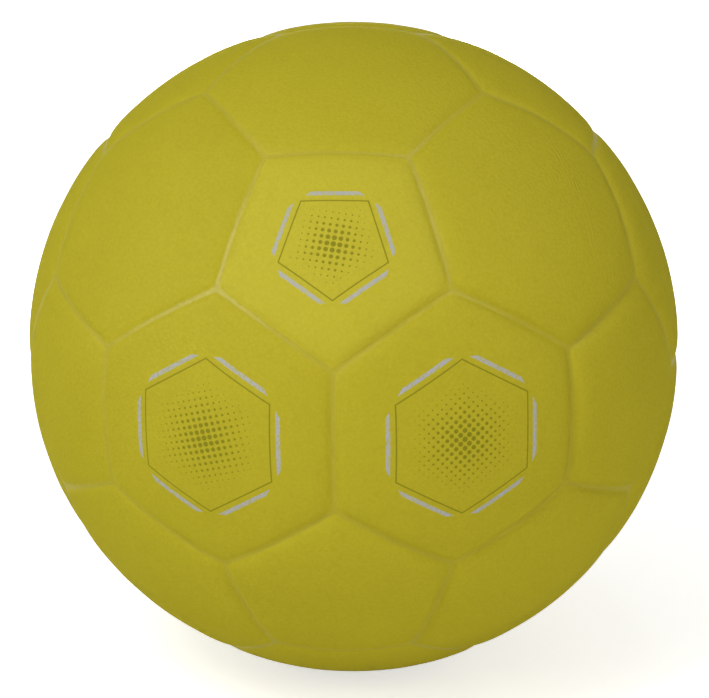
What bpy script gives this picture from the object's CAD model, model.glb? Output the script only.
import math

import bmesh
import bpy
import numpy as np
from mathutils import Matrix, Vector


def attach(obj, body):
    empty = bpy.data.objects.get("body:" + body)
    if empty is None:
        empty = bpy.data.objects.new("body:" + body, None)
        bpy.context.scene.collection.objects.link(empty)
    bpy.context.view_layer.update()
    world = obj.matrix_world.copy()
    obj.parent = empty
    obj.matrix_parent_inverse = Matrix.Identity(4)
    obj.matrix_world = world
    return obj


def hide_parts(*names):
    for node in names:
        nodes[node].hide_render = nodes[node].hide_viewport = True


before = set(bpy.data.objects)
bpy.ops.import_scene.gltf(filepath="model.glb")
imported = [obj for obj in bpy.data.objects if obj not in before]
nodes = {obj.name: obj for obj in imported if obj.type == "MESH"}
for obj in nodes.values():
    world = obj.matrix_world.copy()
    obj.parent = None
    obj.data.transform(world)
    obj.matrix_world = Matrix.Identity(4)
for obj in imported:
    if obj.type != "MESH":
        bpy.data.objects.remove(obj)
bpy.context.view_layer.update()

MM = 0.001


# Sizes that come from the frame
def radii(node):
    """Distances of a node's points from the ball's centre."""
    return np.array([v.co.length for v in nodes[node].data.vertices])


BALL_R = radii("hexagon_panel_01").max()
PANEL_IN_R = radii("hexagon_panel_01").min()
CARCASS_IN_R = radii("carcass").min()

# Sizes that are the same as in the part's source
STEM_R = 4.5 * MM
BOND_FILM = 0.2 * MM
RIB_HALF_W = 0.7 * MM
CARCASS_R = PANEL_IN_R - BOND_FILM
HOLE_R = STEM_R + BOND_FILM

# Sizes of the looks: a wide roll and a narrow pinch along the seams, and a rounded lip at the valve
ROLL_DEPTH = 0.85 * MM
ROLL_W = 3.0 * MM
ROLL_POWER = 2
PINCH_DEPTH = 0.55 * MM
PINCH_W = 1.3 * MM
PINCH_POWER = 3
PANEL_EDGE = RIB_HALF_W + 0.005 * MM
HOLE_LIP = 0.7 * MM
HOLE_ROOM = 2.2 * HOLE_LIP
WAVE_HEIGHT = 0.03 * MM
WAVE_COUNT = 40

# The grooves are deeper on two opposite sides of the ball and shallower between them
SEAM_SHALLOW = 0.5
SEAM_DEEPER = 1.05
SEAM_VARIES = 0.1
DEEP_SIDE = (0.52, -0.85, -0.03)

# How finely the meshes are divided
POINTS_PER_SIDE = 30
SEAM_BAND = 9 * MM
SKIN_RINGS = 22
SKIN_STEP = 1.8 * MM
UNDER_RINGS = 3
UNDER_STEP = 5 * MM
CARCASS_RINGS = 3
CARCASS_STEP = 8 * MM
CARCASS_HOLE_ROOM = 2 * MM
CREST_RINGS = 5
LIP_RINGS = 7
LAST_GAP = 0.4
CORNERED_FROM = 0.7
MERGE_WITHIN = 0.001 * MM


def unit(v):
    v = np.asarray(v, float)
    return v / np.linalg.norm(v, axis=-1, keepdims=True)


class Waves:
    """Soft unevenness, as a sum of plane waves in random directions."""

    def __init__(self, seed, shortest, longest):
        random = np.random.default_rng(seed)
        ways = unit(random.normal(size=(WAVE_COUNT, 3)))
        self.numbers = ways * 2 * math.pi / random.uniform(shortest, longest, (WAVE_COUNT, 1))
        self.phases = random.uniform(0, 2 * math.pi, WAVE_COUNT)

    def at(self, points):
        return np.sin(points @ self.numbers.T + self.phases).sum(axis=1) * math.sqrt(2 / WAVE_COUNT)


skin_waves = Waves(seed=5, shortest=9 * MM, longest=24 * MM)
seam_waves = Waves(seed=8, shortest=50 * MM, longest=110 * MM)


# The seam junctions lie a third of the way from each corner of an icosahedron to its neighbours
GOLDEN = (1 + math.sqrt(5)) / 2
NEIGHBOUR_COS = 1 / math.sqrt(5)
CLOSE = 0.01
corners = unit([np.roll([0, y * GOLDEN, z], k) for y in (-1, 1) for z in (-1, 1) for k in range(3)])
junctions = unit([2 * a + b for a in corners for b in corners if abs(a @ b - NEIGHBOUR_COS) < CLOSE])


class Panel:
    """Outline of one panel on the unit sphere, and the surface inside it."""

    def __init__(self, node):
        self.sides = 5 if node.startswith("pentagon") else 6
        place = unit(np.mean([v.co for v in nodes[node].data.vertices], axis=0))
        nearest = junctions[np.argsort(-junctions @ place)[:self.sides]]
        self.way = unit(nearest.sum(axis=0))
        x = unit(np.cross(nearest[0], self.way))
        y = np.cross(self.way, x)
        self.corners = nearest[np.argsort(np.arctan2(nearest @ y, nearest @ x))]
        next_corners = np.roll(self.corners, -1, axis=0)
        self.seams = unit(np.cross(self.corners, next_corners))
        self.middle = self.way * (self.corners[0] @ self.way)
        along = np.arange(POINTS_PER_SIDE) / POINTS_PER_SIDE
        rim = np.concatenate([a + np.outer(along, b - a) for a, b in zip(self.corners, next_corners)])
        self.rim_ways = unit(rim - self.middle)
        self.rim_far = np.linalg.norm(rim - self.middle, axis=1)[:, None]
        self.inner_far = self.rim_far.min()
        self.tilt = math.atan2(self.inner_far, np.linalg.norm(self.middle))
        self.inradius = BALL_R * self.tilt

    def ring(self, from_seam):
        """Unit vectors at a distance from the seams: a circle near the middle, cornered further out."""
        share = math.tan(self.tilt - from_seam / BALL_R) / math.tan(self.tilt)
        cornered = np.clip(share / CORNERED_FROM, 0, 1)
        cornered = cornered * cornered * (3 - 2 * cornered)
        far = share * (self.inner_far + cornered * (self.rim_far - self.inner_far))
        return unit(self.middle + far * self.rim_ways)

    def round_ring(self, radius, depth):
        """Points of a circle about the panel's axis, at a depth below the crown."""
        up = math.sqrt(BALL_R ** 2 - radius ** 2) - depth
        return self.way * up + self.rim_ways * radius

    def near_seam(self, ways, width, power):
        """How near to a seam each point lies, from 0 on the crown to 1 at the seam."""
        away = BALL_R * np.arcsin(ways @ self.seams.T)
        share = 1 / (1 + np.abs(away / width) ** power)
        return 1 - np.prod(1 - share, axis=1)

    def pinch(self, ways):
        return self.near_seam(ways, PINCH_W, PINCH_POWER)

    def skin(self, ways):
        """Points of the cover's outer surface along unit vectors."""
        depth = ROLL_DEPTH * self.near_seam(ways, ROLL_W, ROLL_POWER) + PINCH_DEPTH * self.pinch(ways)
        pressed = SEAM_SHALLOW + SEAM_DEEPER * (ways @ unit(DEEP_SIDE)) ** 2
        depth *= pressed + SEAM_VARIES * np.tanh(seam_waves.at(BALL_R * ways))
        return ways * (BALL_R - depth + WAVE_HEIGHT * skin_waves.at(BALL_R * ways))[:, None]

    def steps(self, first, count, coarse):
        """Distances from the seams for a run of rings: close together at first, then evenly spaced."""
        near = np.geomspace(first, SEAM_BAND, count)
        even = np.arange(near[-1] + coarse, self.inradius - LAST_GAP * coarse, coarse)
        return np.concatenate([near, even])


class Surface:
    """A mesh that is collected ring by ring."""

    def __init__(self):
        self.points, self.grooves, self.faces, self.sharp = [], [], [], set()
        self.count = 0

    def ring(self, points, grooves=0.0, sharp=False):
        ids = np.arange(self.count, self.count + len(points))
        self.count += len(points)
        self.points.append(points)
        self.grooves.append(np.broadcast_to(grooves, len(points)))
        if sharp:
            self.sharp.update(ids.tolist())
        return ids

    def bridge(self, inner, outer):
        """Quads between two rings, the second of which lies further along the outward-facing surface."""
        quads = np.stack([inner, outer, np.roll(outer, -1), np.roll(inner, -1)], axis=1)
        self.faces.extend(quads.tolist())

    def run(self, rings):
        for inner, outer in zip(rings, rings[1:]):
            self.bridge(inner, outer)

    def cap(self, ring, point, groove, inward=False):
        """Closes a ring with triangles to one point."""
        middle = self.ring(np.array([point]), groove)[0]
        for a, b in zip(ring.tolist(), np.roll(ring, -1).tolist()):
            self.faces.append((middle, b, a) if inward else (middle, a, b))

    def build(self, name, material, merge=None):
        mesh = bpy.data.meshes.new(name)
        mesh.from_pydata(np.concatenate(self.points).tolist(), [], self.faces)
        grooves = mesh.attributes.new("groove", "FLOAT", "POINT")
        grooves.data.foreach_set("value", np.concatenate(self.grooves).astype(np.float32))
        sharp = mesh.attributes.new("sharp_edge", "BOOLEAN", "EDGE")
        ends = np.zeros(2 * len(mesh.edges), int)
        mesh.edges.foreach_get("vertices", ends)
        hard = np.isin(ends.reshape(-1, 2), list(self.sharp)).all(axis=1)
        sharp.data.foreach_set("value", hard)
        mesh.shade_smooth()
        if merge:
            work = bmesh.new()
            work.from_mesh(mesh)
            bmesh.ops.remove_doubles(work, verts=work.verts, dist=merge)
            work.to_mesh(mesh)
            work.free()
        piece = bpy.data.objects.new(name, mesh)
        bpy.context.scene.collection.objects.link(piece)
        mesh.materials.append(material)
        return piece


# Materials
INK_EDGE = 0.07 * MM


def srgb(red, green, blue):
    """A colour written as 0 to 255 on screen, as Blender's linear colour."""
    parts = [c / 255 for c in (red, green, blue)]
    return [p / 12.92 if p <= 0.04045 else ((p + 0.055) / 1.055) ** 2.4 for p in parts] + [1.0]


class Shader:
    """A material's node tree, made from short calls."""

    def __init__(self, name):
        self.material = bpy.data.materials.new(name)
        self.material.use_nodes = True
        self.tree = self.material.node_tree
        self.tree.nodes.clear()
        self.place = self.add("TexCoord").outputs["Object"]

    def put(self, socket, value):
        """Links a socket to another, or sets its value."""
        if isinstance(value, bpy.types.NodeSocket):
            self.tree.links.new(value, socket)
        else:
            socket.default_value = value

    def add(self, kind, inputs=None, **settings):
        node = self.tree.nodes.new("ShaderNode" + kind)
        for key, value in settings.items():
            setattr(node, key, value)
        for key, value in (inputs or {}).items():
            self.put(node.inputs[key], value)
        return node

    def math(self, operation, first, second=0.0, third=0.0):
        return self.add("Math", {0: first, 1: second, 2: third}, operation=operation).outputs[0]

    def dot(self, way):
        """How far a point lies along a direction."""
        inputs = {0: self.place, 1: tuple(way)}
        return self.add("VectorMath", inputs, operation="DOT_PRODUCT").outputs["Value"]

    def farthest(self, ways):
        """How far a point lies along the direction that it leans to most."""
        far = self.dot(ways[0])
        for way in ways[1:]:
            far = self.math("MAXIMUM", far, self.dot(way))
        return far

    def ramp(self, value, start, end, low=0.0, high=1.0, **settings):
        """Goes from low to high as a value goes from start to end."""
        inputs = {"Value": value, "From Min": start, "From Max": end, "To Min": low, "To Max": high}
        return self.add("MapRange", inputs, **settings).outputs[0]

    def below(self, value, limit, soft):
        """1 where a value is under a limit and 0 where it is over, with a soft edge."""
        return self.ramp(self.math("SUBTRACT", value, limit), soft, -soft)

    def stripe(self, value, middle, half_width):
        """1 where a value lies within half a width of its middle."""
        off = self.math("ABSOLUTE", self.math("SUBTRACT", value, middle))
        return self.below(off, half_width, INK_EDGE)

    def noise(self, size, detail=2.0):
        """Smooth noise from 0 to 1, with features of a size in metres."""
        inputs = {"Vector": self.place, "Scale": 1 / size, "Detail": detail}
        return self.add("TexNoise", inputs).outputs["Fac"]

    def cells(self, size):
        """Rounded cells of a size in metres: 0 in the middle of a cell, rising to its border."""
        inputs = {"Vector": self.place, "Scale": 1 / size}
        return self.add("TexVoronoi", inputs).outputs["Distance"]

    def mix(self, share, first, second):
        node = self.add("Mix", data_type="RGBA")
        sockets = {s.name: s for s in node.inputs if s.enabled}
        for key, value in (("Factor", share), ("A", first), ("B", second)):
            self.put(sockets[key], value)
        return next(s for s in node.outputs if s.enabled)

    def spread(self, value, low, high):
        """Maps 0..1 to low..high."""
        return self.math("MULTIPLY_ADD", value, high - low, low)

    def bump(self, height, distance):
        return self.add("Bump", {"Height": height, "Distance": distance, "Strength": 1.0}).outputs["Normal"]

    def finish(self, color, roughness, normal, specular):
        shader = self.add("BsdfPrincipled", {
            "Base Color": color, "Roughness": roughness, "Normal": normal, "Specular IOR Level": specular,
        })
        self.add("OutputMaterial", {"Surface": shader.outputs["BSDF"]})
        return self.material


# The print on a front panel: a worn silver outline and a thin line round a fading field of dots
SILVER_HALF_W = 0.55 * MM
THIN_HALF_W = 0.18 * MM
THIN_INSET = 2.1 * MM
DASH_END = {5: 1.1, 6: 1.06}
DOT_PITCH = 1.7 * MM
DOT_SIZE = 0.44
DOT_REACH = 0.78
DOT_SOFT = 0.05
WEAR_SIZE = 0.6 * MM
WEAR_RANGE = (0.38, 0.54)
INK_LEFT = (0.3, 0.95)
OLIVE_COVERS = 0.8
SILVER = srgb(180, 180, 184)
OLIVE = srgb(124, 122, 26)


def printed_frame(s, panel, size, color):
    """Adds the print to a panel's colour. The size is from the panel's middle to a side of the frame."""
    def flat(ways):
        return unit(ways - np.outer(ways @ panel.way, panel.way))

    to_side = s.farthest(-flat(panel.seams))
    to_corner = s.farthest(flat(panel.corners))
    outline = s.stripe(to_side, size, SILVER_HALF_W)
    dash = s.math("MULTIPLY", outline, s.below(to_corner, size * DASH_END[panel.sides], INK_EDGE))
    thin = s.stripe(to_side, size - THIN_INSET, THIN_HALF_W)
    side = flat(panel.seams)[0]
    across = unit(side + np.cross(panel.way, side))
    grid = s.add("CombineXYZ", {"X": s.dot(across), "Y": s.dot(np.cross(panel.way, across))}).outputs[0]
    inputs = {"Vector": grid, "Scale": 1 / DOT_PITCH, "Randomness": 0.0}
    to_dot = s.add("TexVoronoi", inputs, voronoi_dimensions="2D").outputs["Distance"]
    dot_size = s.math("MULTIPLY_ADD", to_side, -DOT_SIZE / (DOT_REACH * size), DOT_SIZE)
    dots = s.below(to_dot, dot_size, DOT_SOFT)
    worn = s.ramp(s.noise(WEAR_SIZE, 3.0), *WEAR_RANGE, *INK_LEFT)
    olive = s.math("MULTIPLY", s.math("MAXIMUM", dots, thin), OLIVE_COVERS)
    color = s.mix(olive, color, OLIVE)
    return s.mix(s.math("MULTIPLY", dash, worn), color, SILVER)


CREASE_PITCH = 1.4 * MM
CREASE_BAND = 2.0 * MM
CREASE_REACH = 20 * MM
CREASE_BEND = 4 * MM
CREASE_BEND_SIZE = 12 * MM
CREASE_BREAK_SIZE = 5 * MM
CREASE_BREAK = 0.55
CREASE_BREAK_SOFT = 0.08


def creases(s, panel, spot):
    """A few fine wrinkles along a seam, broken here and there, which fade with the distance from a spot."""
    seam = panel.seams[np.argmin(panel.seams @ spot)]
    from_seam = s.math("MULTIPLY_ADD", s.noise(CREASE_BEND_SIZE), CREASE_BEND, s.dot(seam))
    wave = s.math("SINE", s.math("MULTIPLY", from_seam, 2 * math.pi / CREASE_PITCH))
    off = s.math("ABSOLUTE", s.math("SUBTRACT", from_seam, spot @ seam * BALL_R + CREASE_BEND / 2))
    band = s.below(off, CREASE_BAND, CREASE_BAND / 3)
    far = s.add("VectorMath", {0: s.place, 1: tuple(spot * BALL_R)}, operation="DISTANCE").outputs["Value"]
    reach = s.math("MULTIPLY", band, s.below(far, CREASE_REACH, CREASE_REACH / 4))
    broken = s.below(s.noise(CREASE_BREAK_SIZE), CREASE_BREAK, CREASE_BREAK_SOFT)
    return s.math("MULTIPLY", wave, s.math("MULTIPLY", reach, broken))


PEBBLE_SIZE = 1.0 * MM
PEBBLE_SHARE = 0.7
FINE_SIZE = 0.45 * MM
FINE_SHARE = 0.6
CRINKLE_SIZE = 1.7 * MM
CRINKLE_SHARP = 9.0
CRINKLE_SHARE = 0.35
CREASE_SHARE = 0.4
GRAIN_HEIGHT = 0.14 * MM
GRAIN_IN_GROOVE = 0.3
CLOUD_SIZE = 26 * MM
MOTTLE_SHARE = 0.4
COVER_ROUGH_SIZE = 3 * MM
COVER_ROUGH = (0.6, 0.7)
GROOVE_SMOOTHER = 0.36
COVER_SPECULAR = 0.003
COVER_BRIGHT = (195, 182, 47)
COVER_DULL = (188, 175, 43)
COVER_MOTTLE = (174, 162, 35)


def cover_material(name, panel=None, frame_size=0.0, paler=0.0, crease_spot=None):
    """Grained synthetic leather, smoother and glossier where it is pressed into the seam grooves."""
    def tone(color):
        return srgb(*[c + paler for c in color])

    s = Shader(name)
    groove = s.add("Attribute", attribute_name="groove").outputs["Fac"]
    crown = s.math("SUBTRACT", 1.0, groove)
    pebbles = s.cells(PEBBLE_SIZE)
    lines = s.math("ABSOLUTE", s.math("SUBTRACT", s.noise(CRINKLE_SIZE, 3.0), 0.5))
    crinkles = s.math("MINIMUM", s.math("MULTIPLY", lines, CRINKLE_SHARP), 1.0)
    grain = s.math("MULTIPLY", s.noise(FINE_SIZE), FINE_SHARE)
    grain = s.math("MULTIPLY_ADD", pebbles, PEBBLE_SHARE, grain)
    grain = s.math("MULTIPLY_ADD", crinkles, CRINKLE_SHARE, grain)
    if crease_spot is not None:
        grain = s.math("MULTIPLY_ADD", creases(s, panel, crease_spot), CREASE_SHARE, grain)
    height = s.math("MULTIPLY", grain, s.spread(crown, GRAIN_IN_GROOVE, 1.0))
    color = s.mix(s.noise(CLOUD_SIZE), tone(COVER_BRIGHT), tone(COVER_DULL))
    color = s.mix(s.math("MULTIPLY", pebbles, MOTTLE_SHARE), color, tone(COVER_MOTTLE))
    if frame_size:
        color = printed_frame(s, panel, frame_size, color)
    roughness = s.spread(s.noise(COVER_ROUGH_SIZE), *COVER_ROUGH)
    roughness = s.math("MULTIPLY_ADD", groove, -GROOVE_SMOOTHER, roughness)
    return s.finish(color, roughness, s.bump(height, GRAIN_HEIGHT), COVER_SPECULAR)


SEAM_BRIGHT = srgb(188, 175, 54)
SEAM_DULL = srgb(182, 169, 49)
SEAM_CLOUD_SIZE = 8 * MM
SEAM_ROUGH_SIZE = 0.8 * MM
SEAM_ROUGH = (0.25, 0.5)
SEAM_RIPPLE_SIZE = 0.9 * MM
SEAM_RIPPLE_HEIGHT = 0.25 * MM
SEAM_SPECULAR = 0.01


def seam_floor_material(name):
    """The smooth pressed film on the floor of the seam grooves, which glints where it faces a light."""
    s = Shader(name)
    yellow = s.mix(s.noise(SEAM_CLOUD_SIZE), SEAM_BRIGHT, SEAM_DULL)
    roughness = s.spread(s.noise(SEAM_ROUGH_SIZE), *SEAM_ROUGH)
    ripples = s.bump(s.noise(SEAM_RIPPLE_SIZE), SEAM_RIPPLE_HEIGHT)
    return s.finish(yellow, roughness, ripples, SEAM_SPECULAR)


RUBBER_BLOOM_SIZE = 2.5 * MM
RUBBER_MARK_SIZE = 0.3 * MM
RUBBER_MARK_HEIGHT = 0.01 * MM
RUBBER_ROUGH_SIZE = 1.2 * MM
RUBBER_UNEVEN = 0.06
RUBBER_SPECULAR = 0.15


def rubber_material(name, color, dusty, roughness):
    """Moulded rubber with a faint bloom and fine flow marks."""
    s = Shader(name)
    tone = s.mix(s.noise(RUBBER_BLOOM_SIZE, 4.0), color, dusty)
    marks = s.bump(s.noise(RUBBER_MARK_SIZE, 3.0), RUBBER_MARK_HEIGHT)
    rough = s.spread(s.noise(RUBBER_ROUGH_SIZE), roughness - RUBBER_UNEVEN, roughness + RUBBER_UNEVEN)
    return s.finish(tone, rough, marks, RUBBER_SPECULAR)


THREAD_SCALE = 0.3 / MM
THREAD_WANDER = 1.5
THREAD_HEIGHT = 0.1 * MM
THREAD_ROUGH = (0.7, 0.5)
THREAD_SPECULAR = 0.4
THREAD_DARK = srgb(188, 184, 168)
THREAD_LIGHT = srgb(232, 229, 216)


def thread_material(name):
    """Wound nylon thread: fine strands in crossing bands."""
    s = Shader(name)
    height = 0.0
    for direction in "XYZ":
        inputs = {"Vector": s.place, "Scale": THREAD_SCALE, "Distortion": THREAD_WANDER}
        strands = s.add("TexWave", inputs, bands_direction=direction).outputs["Fac"]
        height = s.math("MAXIMUM", strands, height)
    color = s.mix(height, THREAD_DARK, THREAD_LIGHT)
    return s.finish(color, s.spread(height, *THREAD_ROUGH), s.bump(height, THREAD_HEIGHT), THREAD_SPECULAR)


panel_nodes = [n for n in sorted(nodes) if n.endswith("_panel") or "_panel_" in n]
panels = {n: Panel(n) for n in panel_nodes}


def panel_toward(way):
    return max(panel_nodes, key=lambda n: panels[n].way @ unit(way))


# Three front panels carry a print, the pentagon among them is a little paler, and one panel is creased
PENTAGON_FRAME = 14 * MM
HEXAGON_FRAME = 20 * MM
PENTAGON_PALER = 9
CREASE_WAY = (0.68, -0.47, 0.565)
cover = cover_material("cover")
top_front = panel_toward((0, -GOLDEN, 1))
left_front = panel_toward((-1 / GOLDEN, -GOLDEN, 0))
right_front = panel_toward((1 / GOLDEN, -GOLDEN, 0))
top_right = panel_toward((1, -1, 1))
covers = {
    top_front: cover_material("cover_top_front", panels[top_front], PENTAGON_FRAME, PENTAGON_PALER),
    left_front: cover_material("cover_left_front", panels[left_front], HEXAGON_FRAME),
    right_front: cover_material("cover_right_front", panels[right_front], HEXAGON_FRAME),
    top_right: cover_material("cover_top_right", panels[top_right], crease_spot=unit(CREASE_WAY)),
}
seam_rubber = seam_floor_material("seam_floor")
valve_rubber = rubber_material("valve_rubber", srgb(38, 38, 40), srgb(58, 57, 56), 0.5)
bladder_rubber = rubber_material("bladder_rubber", srgb(40, 40, 43), srgb(64, 62, 62), 0.55)
winding_thread = thread_material("winding_thread")


# Cover panels
def panel_piece(node):
    panel = panels[node]
    surface = Surface()
    top_steps = panel.steps(PANEL_EDGE, SKIN_RINGS, SKIN_STEP)[::-1]
    under_steps = panel.steps(PANEL_EDGE, UNDER_RINGS, UNDER_STEP)
    edge_groove = panel.pinch(panel.ring(PANEL_EDGE))
    holed = node == "valve_panel"
    top = []
    if holed:
        room = panel.inradius - HOLE_R - HOLE_ROOM
        top_steps = top_steps[top_steps < room]
        under_steps = under_steps[under_steps < room]
        top.append(surface.ring(panel.round_ring(HOLE_R, BALL_R - PANEL_IN_R), sharp=True))
        for turn in np.linspace(0, math.pi / 2, LIP_RINGS):
            radius = HOLE_R + HOLE_LIP * (1 - math.cos(turn))
            top.append(surface.ring(panel.round_ring(radius, HOLE_LIP * (1 - math.sin(turn)))))
    for step in top_steps:
        ways = panel.ring(step)
        top.append(surface.ring(panel.skin(ways), panel.pinch(ways), sharp=step == top_steps[-1]))
    under = []
    for step in under_steps:
        points = panel.ring(step) * PANEL_IN_R
        under.append(surface.ring(points, edge_groove, sharp=step == under_steps[0]))
    surface.run(top + under)
    if holed:
        surface.bridge(under[-1], top[0])
    else:
        surface.cap(top[0], panel.skin(panel.way[None])[0], 0.0)
        surface.cap(under[-1], panel.way * PANEL_IN_R, 0.0, inward=True)
    piece = surface.build("skin_" + node, covers.get(node, cover))
    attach(piece, "ball")
    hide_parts(node)


for node in panel_nodes:
    panel_piece(node)


# Rubber carcass, with a rib along every seam whose crest is the floor of the groove
def carcass_part(surface, node):
    """The share of the carcass that lies under one panel."""
    panel = panels[node]
    holed = node == "valve_panel"
    room = panel.inradius - (HOLE_R + CARCASS_HOLE_ROOM if holed else 0)
    steps = panel.steps(RIB_HALF_W, CARCASS_RINGS, CARCASS_STEP)[::-1]
    steps = steps[steps < room]
    outer, inner = [], []
    if holed:
        outer.append(surface.ring(panel.round_ring(HOLE_R, BALL_R - CARCASS_R), 1.0, sharp=True))
        inner.append(surface.ring(panel.round_ring(HOLE_R, BALL_R - CARCASS_IN_R), 1.0, sharp=True))
        surface.bridge(inner[0], outer[0])
    for step in steps:
        outer.append(surface.ring(panel.ring(step) * CARCASS_R, 1.0, sharp=step == steps[-1]))
    for step in [*steps, 0.0]:
        inner.append(surface.ring(panel.ring(step) * CARCASS_IN_R, 1.0))
    for step in np.linspace(RIB_HALF_W, 0, CREST_RINGS):
        ways = panel.ring(step)
        outer.append(surface.ring(panel.skin(ways), panel.pinch(ways), sharp=step == RIB_HALF_W))
    surface.run(outer)
    surface.run(inner[::-1])
    if not holed:
        surface.cap(outer[0], panel.way * CARCASS_R, 1.0)
        surface.cap(inner[0], panel.way * CARCASS_IN_R, 1.0, inward=True)


def carcass_piece():
    surface = Surface()
    for node in panel_nodes:
        carcass_part(surface, node)
    piece = surface.build("ribbed_carcass", seam_rubber, merge=MERGE_WITHIN)
    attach(piece, "ball")
    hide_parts("carcass")


carcass_piece()


# CAD nodes that stay
for node, material in (("thread_winding", winding_thread), ("bladder", bladder_rubber),
                       ("valve_housing", valve_rubber), ("valve_core", valve_rubber)):
    nodes[node].data.materials.clear()
    nodes[node].data.materials.append(material)


# Camera at the photograph's view
AZIMUTH, ELEVATION, ROLL = (math.radians(a) for a in (3.47, 15.62, -0.746))
CAMERA_FAR = 7.315 * BALL_R
IMAGE_W = 709
FOCAL_PX = 2355
SENSOR_MM = 36
BALL_OFFSET_PX = (-0.8, 2.6)
level = Vector((math.cos(AZIMUTH), math.sin(AZIMUTH), 0))
ahead = Vector((math.sin(AZIMUTH), -math.cos(AZIMUTH), 0))
back = ahead * math.cos(ELEVATION) + Vector((0, 0, math.sin(ELEVATION)))
steep = back.cross(level)
right = math.cos(ROLL) * level + math.sin(ROLL) * steep
up = math.cos(ROLL) * steep - math.sin(ROLL) * level
camera = bpy.data.objects.new("camera", bpy.data.cameras.new("camera"))
bpy.context.scene.collection.objects.link(camera)
axes = Matrix((right, up, back)).transposed().to_4x4()
camera.matrix_world = Matrix.Translation(back * CAMERA_FAR) @ axes
camera.data.sensor_width = SENSOR_MM
camera.data.lens = FOCAL_PX * SENSOR_MM / IMAGE_W
camera.data.shift_x = -BALL_OFFSET_PX[0] / IMAGE_W
camera.data.shift_y = -BALL_OFFSET_PX[1] / IMAGE_W
bpy.context.scene.camera = camera


# Studio: a pale floor, soft lights and a white surround
LIGHT_FAR = 1.3


def soft_light(name, toward, power, size, green=1.0):
    """An area light aimed at the ball, in a direction given by the camera's right, up and back."""
    lamp = bpy.data.lights.new(name, "AREA")
    lamp.color = (1, green, 1)
    lamp.energy = power
    lamp.size = size
    light = bpy.data.objects.new(name, lamp)
    bpy.context.scene.collection.objects.link(light)
    way = (right * toward[0] + up * toward[1] + back * toward[2]).normalized()
    light.location = way * LIGHT_FAR
    light.rotation_euler = way.to_track_quat("Z", "Y").to_euler()
    light.visible_camera = False
    return light


soft_light("key", (-0.43, 0.58, 0.69), power=4.35, size=0.35, green=1.03)
soft_light("key_low", (-0.5, 0.3, 0.81), power=1.2, size=0.35)
soft_light("left", (-0.95, 0.15, 0.25), power=1.35, size=0.4, green=1.08)
soft_light("over", (0.0, 0.9, 0.44), power=1.15, size=0.5, green=1.03)
soft_light("right", (0.95, 0.1, 0.3), power=0.4, size=0.6, green=0.95)
soft_light("right_front", (0.6, 0.2, 0.77), power=2.0, size=0.6, green=0.98)
soft_light("low_front", (0.0, -0.27, 0.963), power=1.7, size=0.16, green=0.95)
soft_light("behind", (0.0, 0.3, -0.954), power=4.0, size=0.25)

# Wide panels of light that only show as a sheen
soft_light("sheen_left", (-0.72, 0.35, 0.6), power=450.0, size=1.1).visible_diffuse = False
soft_light("sheen_right", (0.5, 0.65, 0.57), power=160.0, size=0.6).visible_diffuse = False


def seen_directly(tree):
    """1 for rays that show the surround: from the camera, from a glossy surface or through glass."""
    path = tree.nodes.new("ShaderNodeLightPath")
    total = path.outputs["Is Camera Ray"]
    for other in ("Is Glossy Ray", "Is Transmission Ray"):
        either = tree.nodes.new("ShaderNodeMath")
        either.operation = "MAXIMUM"
        tree.links.new(total, either.inputs[0])
        tree.links.new(path.outputs[other], either.inputs[1])
        total = either.outputs[0]
    return total


# The surround is white where it is seen, and gives a weaker even light
AMBIENT = 0.3
world = bpy.data.worlds.new("surround")
bpy.context.scene.world = world
world.use_nodes = True
world_tree = world.node_tree
strength = world_tree.nodes.new("ShaderNodeMapRange")
strength.inputs["To Min"].default_value = AMBIENT
strength.inputs["To Max"].default_value = 1.0
world_tree.links.new(seen_directly(world_tree), strength.inputs["Value"])
background = world_tree.nodes["Background"]
background.inputs["Color"].default_value = (1, 1, 1, 1)
world_tree.links.new(strength.outputs["Result"], background.inputs["Strength"])

FLOOR_HALF = 4.0
FLOOR_PALE = ((0.90, 0.90, 0.90, 1), (0.92, 0.92, 0.92, 1))
FLOOR_CLOUDS = 0.3
FLOOR_LIFT = 0.62
LIFT_FROM = 0.15
LIFT_TO = 0.5


def floor_material():
    """A pale floor that is lifted to white away from the ball, so that only the shadow shows."""
    s = Shader("floor")
    diffuse = s.add("BsdfDiffuse", {"Color": s.mix(s.noise(FLOOR_CLOUDS), *FLOOR_PALE)})
    away = s.add("VectorMath", {0: s.place}, operation="LENGTH").outputs["Value"]
    fade = s.ramp(away, LIFT_FROM, LIFT_TO, FLOOR_LIFT, 1.0, interpolation_type="SMOOTHSTEP")
    glow = s.add("Emission", {"Strength": s.math("MULTIPLY", seen_directly(s.tree), fade)})
    both = s.add("AddShader", {0: diffuse.outputs[0], 1: glow.outputs[0]})
    s.add("OutputMaterial", {"Surface": both.outputs[0]})
    return s.material


floor_mesh = bpy.data.meshes.new("floor")
floor_corners = [(x * FLOOR_HALF, y * FLOOR_HALF, -BALL_R) for x, y in ((-1, -1), (1, -1), (1, 1), (-1, 1))]
floor_mesh.from_pydata(floor_corners, [], [(0, 1, 2, 3)])
floor_mesh.materials.append(floor_material())
floor = bpy.data.objects.new("floor", floor_mesh)
bpy.context.scene.collection.objects.link(floor)

bpy.context.scene.view_settings.view_transform = "Standard"
